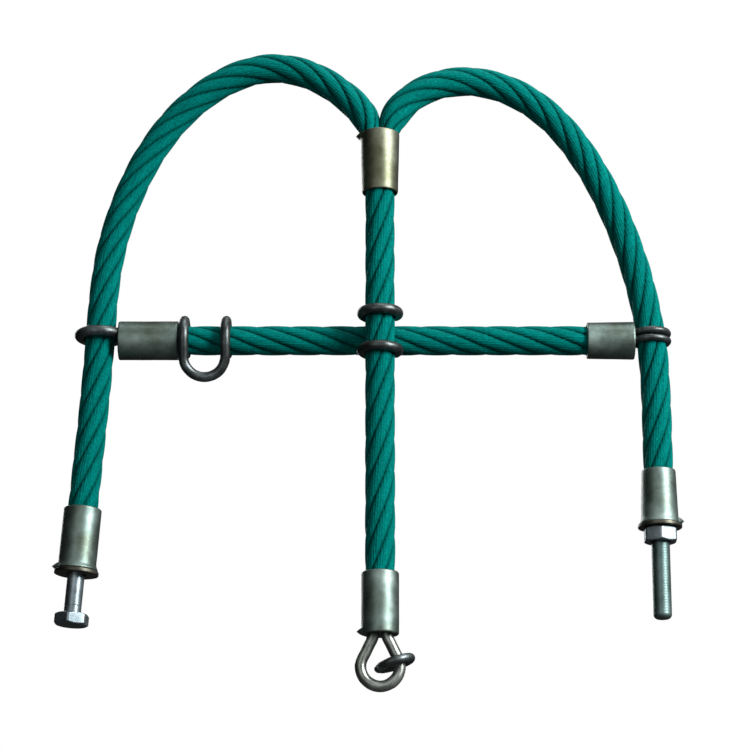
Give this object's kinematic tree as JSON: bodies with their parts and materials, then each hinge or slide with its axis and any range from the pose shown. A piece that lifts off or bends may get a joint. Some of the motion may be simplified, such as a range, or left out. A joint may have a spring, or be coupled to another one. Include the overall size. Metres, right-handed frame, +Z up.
{
  "type": "playground rope arch assembly",
  "caption": "Arched playground climbing rope unit: laid steel-cored ropes joined by pressed ferrules and wire clips, with an eye and threaded ends for bolting to a frame.",
  "frame": {"origin": "under the middle of the outline, level with the lowest point of the eye", "axes": "+X across the arches towards the studded leg, +Y from front to back, +Z up"},
  "size_m": [0.3405, 0.0436, 0.3626],
  "materials": {
    "rope_yarn": "teal green polypropylene yarn",
    "rope_core": "undyed fibre",
    "ferrule_zinc": "yellow passivated zinc",
    "clip_steel": "dull galvanised steel",
    "bolt_zinc": "blue-grey zinc"
  },
  "bodies": {
    "rope_frame": {"left_arch_rope_strands": "rope_yarn", "left_arch_rope_core": "rope_core", "right_arch_rope_strands": "rope_yarn", "right_arch_rope_core": "rope_core", "centre_rope_strands": "rope_yarn", "centre_rope_core": "rope_core", "crossbar_rope_strands": "rope_yarn", "crossbar_rope_core": "rope_core", "y_ferrule": "ferrule_zinc", "left_foot_ferrule": "ferrule_zinc", "right_foot_ferrule": "ferrule_zinc", "centre_foot_ferrule": "ferrule_zinc", "left_tee_ferrule": "ferrule_zinc", "right_tee_ferrule": "ferrule_zinc", "left_tie_loop": "clip_steel", "right_tie_loops": "clip_steel", "eye": "clip_steel", "crossing_clip": "clip_steel", "left_insert": "bolt_zinc", "left_washer": "bolt_zinc", "right_insert": "bolt_zinc", "right_stud": "bolt_zinc"},
    "nut_washer": {"right_washer": "bolt_zinc"},
    "nut": {"right_nut": "bolt_zinc"},
    "bolt": {"left_bolt": "bolt_zinc"},
    "hanging_clip": {"u_clip": "clip_steel"},
    "ring": {"open_ring": "clip_steel"}
  },
  "joints": [
    {"name": "nut_travel", "type": "slide", "parent": "rope_frame", "child": "nut_washer", "axis": [0, 0, -1], "range_m": [0, 0.036]},
    {"name": "nut_spin", "type": "hinge", "parent": "nut_washer", "child": "nut", "pos_m": [0.15745, 0.00764, 0.0843], "axis": [0, 0, -1], "range_deg": [0, 8640]},
    {"name": "bolt_travel", "type": "slide", "parent": "rope_frame", "child": "bolt", "axis": [0.0698, 0, 0.9976], "range_m": [-0.0105, 0.0055]},
    {"name": "clip_swing", "type": "hinge", "parent": "rope_frame", "child": "hanging_clip", "pos_m": [-0.09045, 0.00764, 0.1985], "axis": [1, 0, 0], "range_deg": [-40, 50]},
    {"name": "ring_swing", "type": "hinge", "parent": "rope_frame", "child": "ring", "pos_m": [0.01385, -0.00896, 0.0155], "axis": [0, 1, 0], "range_deg": [-15, 30]}
  ],
  "couplings": [
    {"joint": "nut_spin", "follows": "nut_travel", "rad_per_m": 4188.8}
  ]
}
